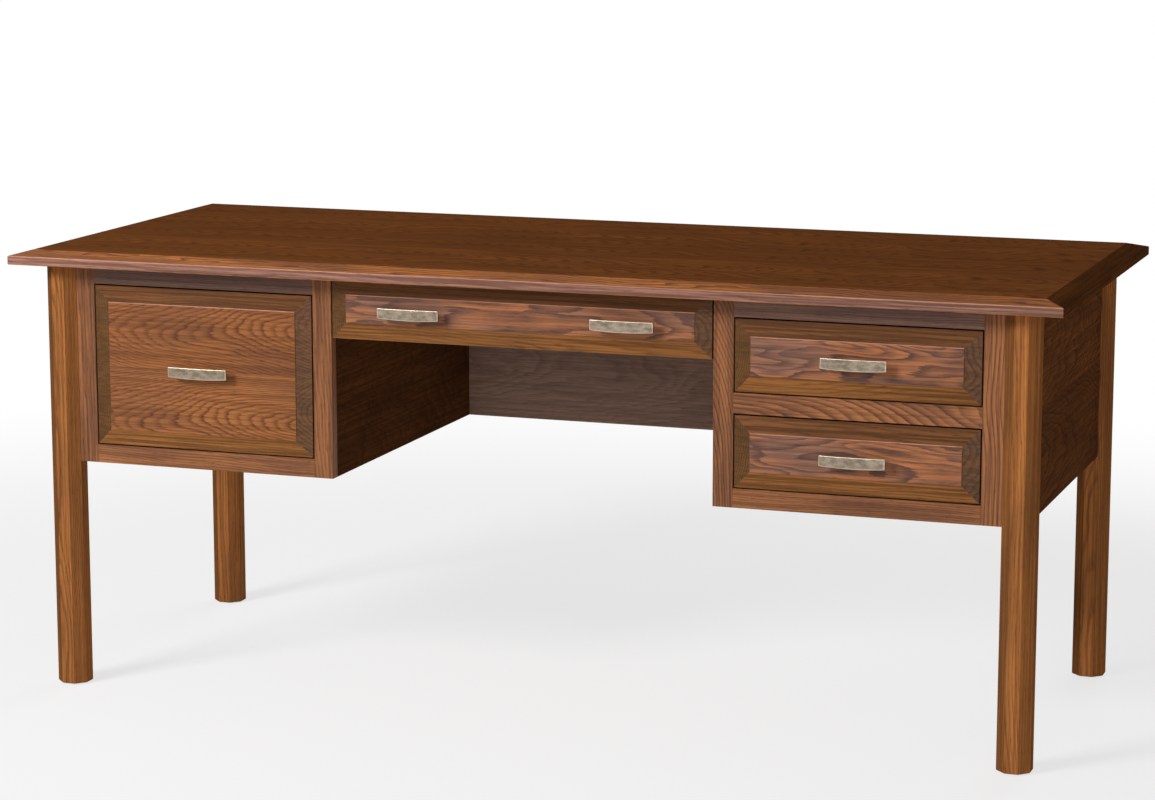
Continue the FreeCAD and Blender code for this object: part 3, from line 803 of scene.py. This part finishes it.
# %% [markdown]
# ## The legs
# Each leg is a straight post with eight equal sides, all the way up to the top.
# A cylinder primitive with eight vertices is exactly that, once it is turned by half a side.
# The foot has a small chamfer, which keeps a real leg from splintering when the desk is dragged.
# One slanting side, the one towards the front left, gets a darker copy of the finish: painted shade.

# %% Legs
LEG_SIDES = 8
HALF_SIDE = math.pi / LEG_SIDES
FOOT_CHAMFER = 1.5 * MM
LEG_EASE = 0.7 * MM
LEFT_FACET_PAINTED_SHADE = 0.78
# How far a face has to turn to the left and to the front to count as the side in painted shade
LEFT_FACET_TURN = -0.3


def add_rod(name, sides, radius, length, middle, turn=(0, 0, 0)):
    """A cylinder primitive, which stands unless it is turned."""
    deselect()
    bpy.ops.mesh.primitive_cylinder_add(
        vertices=sides, radius=radius, depth=length, location=middle, rotation=turn)
    return settle(bpy.context.active_object, name)


def plain_name(node):
    return "oak " + node.replace("_", " ")


def leg_finish(name, start, shade):
    return oak_finish(
        name, "legs", "front along z", start, spacing=0.0026, heart=0.06, taper=0.015, wander=0.025,
        wobble=1.0, feather=0.3, ring_share=0.65, shine=0, shade=shade)


def leg(node, start, shade):
    low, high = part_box(node)
    radius = (high.x - low.x) / 2 / math.cos(HALF_SIDE)
    piece = add_rod("oak_" + node, LEG_SIDES, radius, high.z - low.z, (low + high) / 2, (0, 0, HALF_SIDE))
    round_edges(piece, lies_at(Z, low.z), FOOT_CHAMFER, segments=1)
    ease_edges(piece, LEG_EASE, angle=30)
    name = plain_name(node)
    stand_for(piece, leg_finish(name, start, shade), node)
    painted_shade_facet = leg_finish(name + " shoulder", start, LEFT_FACET_PAINTED_SHADE * shade)
    dress_faces(piece, [painted_shade_facet], lambda face: int(max(face.normal.x, face.normal.y) < LEFT_FACET_TURN))
    print(piece.name, "has", len(piece.data.polygons), "faces")


# Each leg's shade evens out how the lamps light it: painted shade on the left legs, painted light on the
# right ones.
leg("front_left_leg", (0.86, 0.3, -0.36), shade=0.96)
leg("front_right_leg", (-0.80, 1.7, -0.35), shade=1.06)
leg("back_left_leg", (0.88, 2.9, 0.28), shade=0.93)
leg("back_right_leg", (-0.86, 4.1, 0.27), shade=1.1)

# %% [markdown]
# ## Frames and panels of the pedestals
# Stiles stand, rails lie between them, and panels close the sides, the knee space and the back.
# They are plain sawn boards, so one function makes them all, and only the grain tells them apart.
# Two stiles share a node of the frame, so their corners are found by walking along the edges of its mesh.

# %% Find the solids of a node
MERGE_DISTANCE = 0.001 * MM


def solids(node):
    """The corners of every separate solid in a CAD node, from left to right."""
    mesh = bmesh.new()
    mesh.from_mesh(frame["nodes"][node].data)
    bmesh.ops.remove_doubles(mesh, verts=mesh.verts, dist=MERGE_DISTANCE)
    waiting = set(mesh.verts)
    boxes = []
    while waiting:
        reached = [waiting.pop()]
        group = []
        while reached:
            vertex = reached.pop()
            group.append(vertex.co.copy())
            for edge in vertex.link_edges:
                other = edge.other_vert(vertex)
                if other in waiting:
                    waiting.remove(other)
                    reached.append(other)
        boxes.append((Vector(map(min, *group)), Vector(map(max, *group))))
    mesh.free()
    return sorted(boxes, key=lambda box: tuple(box[0]))


print("stiles of the left pedestal:", len(solids("left_stiles")))

# %% Stiles
BOARD_EASE = 0.4 * MM
# Depth of the frame's face, where the pattern of its boards starts
FRAME_LEVEL = 0.33
PLAIN_GRAIN = dict(wobble=0.9, feather=0.3)
CALM_GRAIN = dict(wobble=1.6, feather=0.8, fade=1.4, ring_share=0.6)


def board(name, low, high):
    return ease_edges(add_block(name, low, high), BOARD_EASE)


def join(name, pieces):
    """Make one piece of several."""
    pick(pieces[0])
    for piece in pieces:
        piece.select_set(True)
    bpy.ops.object.join()
    pieces[0].name = name
    return pieces[0]


def stile_finish(name, across, along, **grain):
    start = (across, along, -FRAME_LEVEL)
    return oak_finish(
        name, "frame", "front along z", start, spacing=0.0046, heart=0.05, streak_share=0.5, **grain)


def stiles(node, materials):
    """The two stiles of one pedestal, joined into one piece."""
    pieces = []
    for (low, high), material in zip(solids(node), materials):
        piece = board("oak_" + node, low, high)
        piece.data.materials.append(material)
        pieces.append(piece)
    joined = join("oak_" + node, pieces)
    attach(joined, "carcase")
    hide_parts(node)
    print(joined.name, "from", len(pieces), "boards")


stiles("left_stiles", [
    stile_finish("oak left outer stile", 0.86, 0.1, taper=0.03, shade=0.94, **CALM_GRAIN),
    stile_finish("oak left inner stile", 0.43, 1.1, taper=0.03, shade=0.96, **CALM_GRAIN)])
stiles("right_stiles", [
    stile_finish("oak right inner stile", -0.29, -0.55, taper=0.3, **PLAIN_GRAIN),
    stile_finish("oak right outer stile", -0.72, 3.1, taper=0.01, shade=1.05, **PLAIN_GRAIN)])

# %% Rails
# How far a face has to turn to the back to count as the board's rear
REAR_TURN = 0.9


def plain_board(node, material, rear_finish=None):
    """One board; its face towards the back of the desk may have a finish of its own."""
    low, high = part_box(node)
    piece = board("oak_" + node, low, high)
    stand_for(piece, material, node)
    if rear_finish:
        dress_faces(piece, [rear_finish], lambda face: int(face.normal.y > REAR_TURN))
    print(piece.name, "is", [round(size, 3) for size in high - low])


def rail(node, across, along, stain="frame", **grain):
    start = (across, along, FRAME_LEVEL)
    plain_board(node, oak_finish(plain_name(node), stain, "front along x", start, heart=0.05, **grain))


# The top rails get the stain that paints the shade of the top's overhang.
rail("left_top_rail", -0.65, 0.45, "rails in painted shade", taper=0.02, **CALM_GRAIN)
rail("left_bottom_rail", -0.36, 1.5, taper=0.02, **CALM_GRAIN)
rail("right_top_rail", -0.80, -0.5, "rails in painted shade", taper=0.02, shade=1.12, **CALM_GRAIN)
rail("right_middle_rail", -0.52, -0.5, spacing=0.007, taper=0.3, wobble=1.2, feather=0.3, fade=1.6,
     shade=1.08)
rail("right_bottom_rail", -0.33, -1.9, taper=0.02, **CALM_GRAIN)

# %% Panels
PANEL_BOARD = 0.174
# Where the pattern starts: at the panels' lower edge, and at the depth of their faces
PANEL_FOOT = -0.401
END_LEVEL = 0.85
KNEE_LEVEL = 0.34
INSIDE_LEVEL = -0.31
OUTSIDE_LEVEL = -0.33


def panel_finish(name, turn, level, shuffle, stain="panels", **looks):
    return oak_finish(
        name, stain, turn, (PANEL_FOOT, 0, level), boards=PANEL_BOARD, shuffle=shuffle, shine=0,
        spacing=0.006, heart=0.12, taper=0.12, wander=0.06, across_cells=9, along_cells=4, feather=0.7,
        fade=2.0, **looks)


def side_panel(node, level, shuffle, **looks):
    plain_board(node, panel_finish(plain_name(node), "side along y", level, shuffle, **looks))


side_panel("left_end_panel", END_LEVEL, 5, ring_share=0.7)
# The right end panel's higher shade is painted light on a side the lamps hardly reach.
side_panel("right_end_panel", END_LEVEL, 8, ring_share=0.7, shade=1.08)
# The left knee panel's low shade is painted shade of the knee space.
side_panel("left_knee_panel", KNEE_LEVEL, 12, ring_share=0.4, shade=0.73)
side_panel("right_knee_panel", KNEE_LEVEL, 16, ring_share=0.6)
inside = panel_finish("oak back panel inside", "front along x", INSIDE_LEVEL, 21, "back", ring_share=0.45)
outside = panel_finish("oak back panel outside", "front along x", OUTSIDE_LEVEL, 25, ring_share=0.7)
plain_board("back_panel", inside, outside)

# %% [markdown]
# ## Drawer fronts
# A raised front is cut from one thick board: the middle stands proud, and broad bevels fall to the edges.
# The front face of a block is extruded and drawn in for the bevel, then extruded again for the small step.
# Each side has its own finish: painted shade up and left, painted light below, and a painted sheen on the
# right.
# On the short sides the cut goes across the grain, and the rings show as arcs.

# %% Finishes of the bevels
BEVEL_BOARD = 0.158
# Where the pattern starts: at the fronts' lower edge, and at the depth of their faces
BEVEL_FOOT = -0.415
FRONT_LEVEL = 0.338
UPPER, LOWER, LEFT, RIGHT, PAINTED_HIGHLIGHT, REVEAL = range(1, 7)


def bevel_finish(side, along, shuffle, **looks):
    start = (BEVEL_FOOT, along, FRONT_LEVEL)
    return oak_finish("oak " + side, side, "front along x", start, BEVEL_BOARD, shuffle, **looks)


LONG_BEVEL = dict(along=0.2, shuffle=44, heart=0.05, taper=0.03, wobble=1.2, feather=0.7, ring_share=0.6,
                  streak_share=0.75)
END_BEVEL = dict(along=0, shuffle=40, spacing=0.0026, heart=0.06, taper=0.45, feather=0.3, ring_share=0.65)
BEVEL_FINISHES = [
    bevel_finish("upper bevels in painted shade", **LONG_BEVEL),
    bevel_finish("lower bevels in painted light", **LONG_BEVEL),
    bevel_finish("left bevels in painted shade", **END_BEVEL),
    bevel_finish("right bevels with painted sheen", **END_BEVEL),
    # The upper edge of the raised field gets a lighter finish: a painted highlight.
    oak_finish(
        "oak field edge painted highlight", "band edge", "front along x", ring_share=0.2, streak_share=0.1, shade=1.16),
    # The sides of a front, in the gaps round it, get a dark finish: painted shade.
    oak_finish("oak front reveals", "reveals in painted shade", "front along x", shine=0),
]
print("finishes of a front's sides:", ", ".join(finish.name for finish in BEVEL_FINISHES))

# %% Shape of a drawer front
FIELD_STEP = 1.2 * MM
FRONT_EASE = 0.45 * MM
LIP_ROUND = 1.1 * MM
BEVEL_WIDTH = 27 * MM
# Which faces count as raised, as the upper edge with a painted highlight, as a side in painted shade, and as
# a bevel
RAISED_FROM = 5 * MM
PAINTED_HIGHLIGHT_TURN = 0.15
SIDE_TURN = 0.3
BEVEL_TURNS = (-0.99, -0.9)
face_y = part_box("left_stiles")[0].y


def front_number(face):
    """The number of the finish that a face of a drawer front gets."""
    turn = face.normal
    raised = face.center.y < face_y - RAISED_FROM
    if raised and turn.z > PAINTED_HIGHLIGHT_TURN:
        return PAINTED_HIGHLIGHT
    if not raised and abs(turn.y) < SIDE_TURN:
        return REVEAL
    if not BEVEL_TURNS[0] < turn.y < BEVEL_TURNS[1]:
        return 0
    if abs(turn.z) > abs(turn.x):
        return UPPER if turn.z > 0 else LOWER
    return LEFT if turn.x < 0 else RIGHT


def drawer_front(drawer, material):
    node = drawer + "_front"
    low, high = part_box(node)
    piece = add_block("oak_" + node, Vector((low.x, face_y, low.z)), high)
    select_edges(piece, lies_at(Y, face_y))
    rise = low.y + FIELD_STEP - face_y
    bpy.ops.mesh.extrude_region_move(TRANSFORM_OT_translate={"value": (0, rise, 0)})
    shrink = [(length - 2 * BEVEL_WIDTH) / length for length in high - low]
    shrink[Y] = 1
    bpy.ops.transform.resize(value=shrink, center_override=(low + high) / 2)
    bpy.ops.mesh.extrude_region_move(TRANSFORM_OT_translate={"value": (0, -FIELD_STEP, 0)})
    leave_edit()
    round_edges(piece, lies_at(Y, low.y), LIP_ROUND, segments=3)
    ease_edges(piece, FRONT_EASE, angle=35)
    stand_for(piece, material, node)
    dress_faces(piece, BEVEL_FINISHES, front_number)
    print(piece.name, "raised by", round((face_y - low.y) / MM, 1), "mm")


print("bevels are", BEVEL_WIDTH / MM, "mm wide")

# %% Four drawer fronts
DRAWERS = ("file_drawer", "pencil_drawer", "upper_drawer", "lower_drawer")


def flame_front(name, across, along, **looks):
    """A board cut almost along a ring, so that the rings open into long islands."""
    return oak_finish(
        name, "flame fronts", "front along x", (across, along, FRONT_LEVEL), heart=0.2, wander=0.034,
        across_cells=17, along_cells=3.6, wobble=1.3, feather=0.45, fade=1.6, cool_share=0.75,
        ring_share=0.95, **looks)


FRONT_FINISHES = (
    oak_finish(
        "oak file front", "file front", "front along x", (-0.435, 0.55, FRONT_LEVEL), boards=0.1385,
        shuffle=13, spacing=0.0033, heart=0.05, taper=-0.14, wander=0.04, wobble=1.8, feather=0.7,
        ring_share=0.8),
    flame_front("oak pencil front", -0.70, 0.1, spacing=0.0042, taper=0.01, shade=0.96),
    flame_front("oak upper front", -0.655, -0.55, spacing=0.0024, taper=0.015),
    flame_front("oak lower front", -0.49, -0.6, spacing=0.0028, taper=-0.015),
)
for drawer, material in zip(DRAWERS, FRONT_FINISHES):
    drawer_front(drawer, material)

# %% [markdown]
# ## The pulls
# A pull is a short cast bar, bowed forwards in the middle and a little deeper there, on two round posts.
# Such a bar could be swept along a curve, but a block with many cuts is easier to control.
# Its bow and its belly are one formula: both fade with the square of the distance from the middle.
# The posts are then united with the bar, and each drawer gets its own copy.

# %% Model one pull
pull_low, pull_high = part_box("file_drawer_pulls")
PULL_HALF = (pull_high.x - pull_low.x) / 2
PULL_THICK = 5 * MM
PULL_BOW = 3 * MM
PULL_BELLY = 1.9 * MM
PULL_CUTS = 23
PULL_EASE = 1.3 * MM
POST_RADIUS = 4.5 * MM
POST_PLACE = 38 * MM
POST_SIDES = 32
POST_EASE = 0.4 * MM
COLLAR_RADIUS = 6.5 * MM
COLLAR_THICK = 1.6 * MM


def pull_bar(name):
    """The bar of one pull, centred on x 0, at its real depth and height."""
    low = Vector((-PULL_HALF, pull_low.y, pull_low.z))
    high = Vector((PULL_HALF, pull_low.y + PULL_THICK, pull_high.z))
    bar = add_block(name, low, high)
    select_edges(bar, lambda a, b: not near(a.x, b.x))
    bpy.ops.mesh.subdivide(number_cuts=PULL_CUTS)
    leave_edit()
    for vertex in bar.data.vertices:
        share = (vertex.co.x / PULL_HALF) ** 2
        vertex.co.y += PULL_BOW * share
        if near(vertex.co.z, pull_low.z):
            vertex.co.z += PULL_BELLY * share
    bar.data.materials.append(PEWTER)
    # The eased edges take the second finish: rubbed wear and a painted highlight.
    bar.data.materials.append(PEWTER_WEAR_AND_HIGHLIGHT)
    return ease_edges(bar, PULL_EASE, segments=3, edge_finish=1)


def pull_rod(name, centre_x, front, back, radius):
    """A round rod that runs from front to back."""
    middle = (centre_x, (front + back) / 2, (pull_low.z + pull_high.z) / 2)
    rod = add_rod(name, POST_SIDES, radius, back - front, middle, (QUARTER, 0, 0))
    rod.data.materials.append(PEWTER)
    return ease_edges(rod, POST_EASE)


def combine(piece, other, operation):
    """Unite another closed piece with this one, or cut it out of this one."""
    pick(piece)
    combined = piece.modifiers.new("combined", "BOOLEAN")
    combined.operation = operation
    combined.object = other
    bpy.ops.object.modifier_apply(modifier=combined.name)
    bpy.data.objects.remove(other)


pull_model = pull_bar("pull_model")
post_front = pull_low.y + PULL_THICK / 2 + PULL_BOW * (POST_PLACE / PULL_HALF) ** 2
collar_front = pull_high.y - COLLAR_THICK
for place in (-POST_PLACE, POST_PLACE):
    collar = pull_rod("collar", place, collar_front, pull_high.y, COLLAR_RADIUS)
    post = pull_rod("post", place, post_front, collar_front + COLLAR_THICK / 2, POST_RADIUS)
    combine(pull_model, collar, "UNION")
    combine(pull_model, post, "UNION")
print("pull model has", len(pull_model.data.polygons), "faces")

# %% Place the pulls
def copy_to(model, name, place, turn=(0, 0, 0)):
    """A copy with its own mesh, placed and turned in its mesh."""
    copy = model.copy()
    copy.data = model.data.copy()
    bpy.context.collection.objects.link(copy)
    copy.location = place
    copy.rotation_euler = turn
    return settle(copy, name)


for drawer in DRAWERS:
    node = drawer + "_pulls"
    copies = []
    for low, high in solids(node):
        shift = Vector(((low.x + high.x) / 2, 0, low.z - pull_low.z))
        copies.append(copy_to(pull_model, "pewter_" + node, shift))
    pulls = join("pewter_" + node, copies)
    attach(pulls, drawer)
    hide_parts(node)
    print(pulls.name, "from", len(copies), "casting(s)")
bpy.data.objects.remove(pull_model)

# %% [markdown]
# ## Screws and glides
# Pan-head screws hold the pulls from inside the drawers, and the top from below.
# A head is a disc with a rounded rim and a cross cut into it, which is what makes a screw read as a screw.
# A glide is a thin moulded disc under each leg, rounded where it meets the floor, with a nail that holds it.

# %% Model a screw
HEAD_HEIGHT = 2.4 * MM
HEAD_SIDES = 24
HEAD_ROUND_SHARE = 0.55
RECESS_DEPTH = 1.3 * MM
RECESS_LENGTH_SHARE = 0.62
RECESS_WIDTH_SHARE = 0.14
SHANK_SHARE = 0.5
SHANK_SIDES = 16
SMOOTH_ANGLE = math.radians(35)


def upright_rod(name, sides, radius, bottom, top):
    """A rod that stands on the Z axis."""
    return add_rod(name, sides, radius, top - bottom, (0, 0, (bottom + top) / 2))


def screw_model(name, head_radius, length):
    """A screw that stands head up, with the top of its head at z 0."""
    head = upright_rod(name, HEAD_SIDES, head_radius, -HEAD_HEIGHT, 0)
    round_edges(head, lies_at(Z, 0), HEAD_ROUND_SHARE * HEAD_HEIGHT, segments=4)
    reach = head_radius * RECESS_LENGTH_SHARE
    thin = head_radius * RECESS_WIDTH_SHARE
    for x, y in ((reach, thin), (thin, reach)):
        slit = add_block("recess", Vector((-x, -y, -RECESS_DEPTH)), Vector((x, y, HEAD_HEIGHT)))
        combine(head, slit, "DIFFERENCE")
    shank = upright_rod("shank", SHANK_SIDES, head_radius * SHANK_SHARE, -length, -HEAD_HEIGHT / 2)
    combine(head, shank, "UNION")
    head.data.materials.clear()
    head.data.materials.append(ZINC)
    pick(head)
    bpy.ops.object.shade_smooth_by_angle(angle=SMOOTH_ANGLE)
    return head


print("screw heads are", round(HEAD_HEIGHT / MM, 1), "mm high")

# %% Place the screws
def place_screws(node, turn, axis, head_end):
    """Put a copy of one screw wherever the node has a solid; head_end is 1 where heads face up the axis."""
    boxes = solids(node)
    low, high = boxes[0]
    model = screw_model("screw_model", (high.x - low.x) / 2, high[axis] - low[axis])
    copies = []
    for low, high in boxes:
        place = (low + high) / 2
        place[axis] = high[axis] if head_end > 0 else low[axis]
        copies.append(copy_to(model, "zinc_" + node, place, turn))
    bpy.data.objects.remove(model)
    screws = join("zinc_" + node, copies)
    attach(screws, frame["nodes"][node]["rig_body"])
    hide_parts(node)
    print(screws.name, "with", len(copies), "screws")


for drawer in DRAWERS:
    place_screws(drawer + "_pull_screws", (-QUARTER, 0, 0), Y, 1)
place_screws("top_screws", (math.pi, 0, 0), Z, -1)

# %% Glides
NAIL_RADIUS = 1.5 * MM
NAIL_SIDES = 16
PAD_SIDES = 40
PAD_ROUND_SHARE = 0.45
glide_boxes = solids("leg_glides")
glide_low, glide_high = glide_boxes[0]
pad_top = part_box("front_left_leg")[0].z
pad_thick = pad_top - glide_low.z
pad_radius = (glide_high.x - glide_low.x) / 2

glide_model = upright_rod("glide_model", PAD_SIDES, pad_radius, glide_low.z, pad_top)
round_edges(glide_model, lies_at(Z, glide_low.z), PAD_ROUND_SHARE * pad_thick, segments=3)
nail = upright_rod("nail", NAIL_SIDES, NAIL_RADIUS, pad_top - pad_thick / 2, glide_high.z)
combine(glide_model, nail, "UNION")
bpy.ops.object.shade_smooth_by_angle(angle=SMOOTH_ANGLE)
glides = []
for low, high in glide_boxes:
    glides.append(copy_to(glide_model, "glide", ((low.x + high.x) / 2, (low.y + high.y) / 2, 0)))
bpy.data.objects.remove(glide_model)
stand_for(join("moulded_leg_glides", glides), GLIDE, "leg_glides")
print("glides:", len(glides), "with pads of", round(pad_thick / MM, 1), "mm")

# %% [markdown]
# ## Dress the nodes that stay
# The drawer boxes, slides, packers, cleats and pedestal floors already have their right shape.
# So they keep their meshes and only need a finish.

# %% Finishes for the frame's own nodes
NODE_FINISHES = {
    "_box_sides": BOX_SIDE,
    "_box_ends": BOX_END,
    "_drawer_bottom": BOX_FLOOR,
    "_channels": ZINC,
    "_pedestal_bottom": oak_finish("oak pedestal floors", "panels", "flat along x", boards=0.15, shuffle=30,
                                   shine=0),
}
for name, item in frame["nodes"].items():
    if item.hide_render:
        continue
    fitting = [finish for ending, finish in NODE_FINISHES.items() if name.endswith(ending)]
    finish = fitting[0] if fitting else BARE_WOOD
    item.data.materials.clear()
    item.data.materials.append(finish)
    print(name, "wears", finish.name)
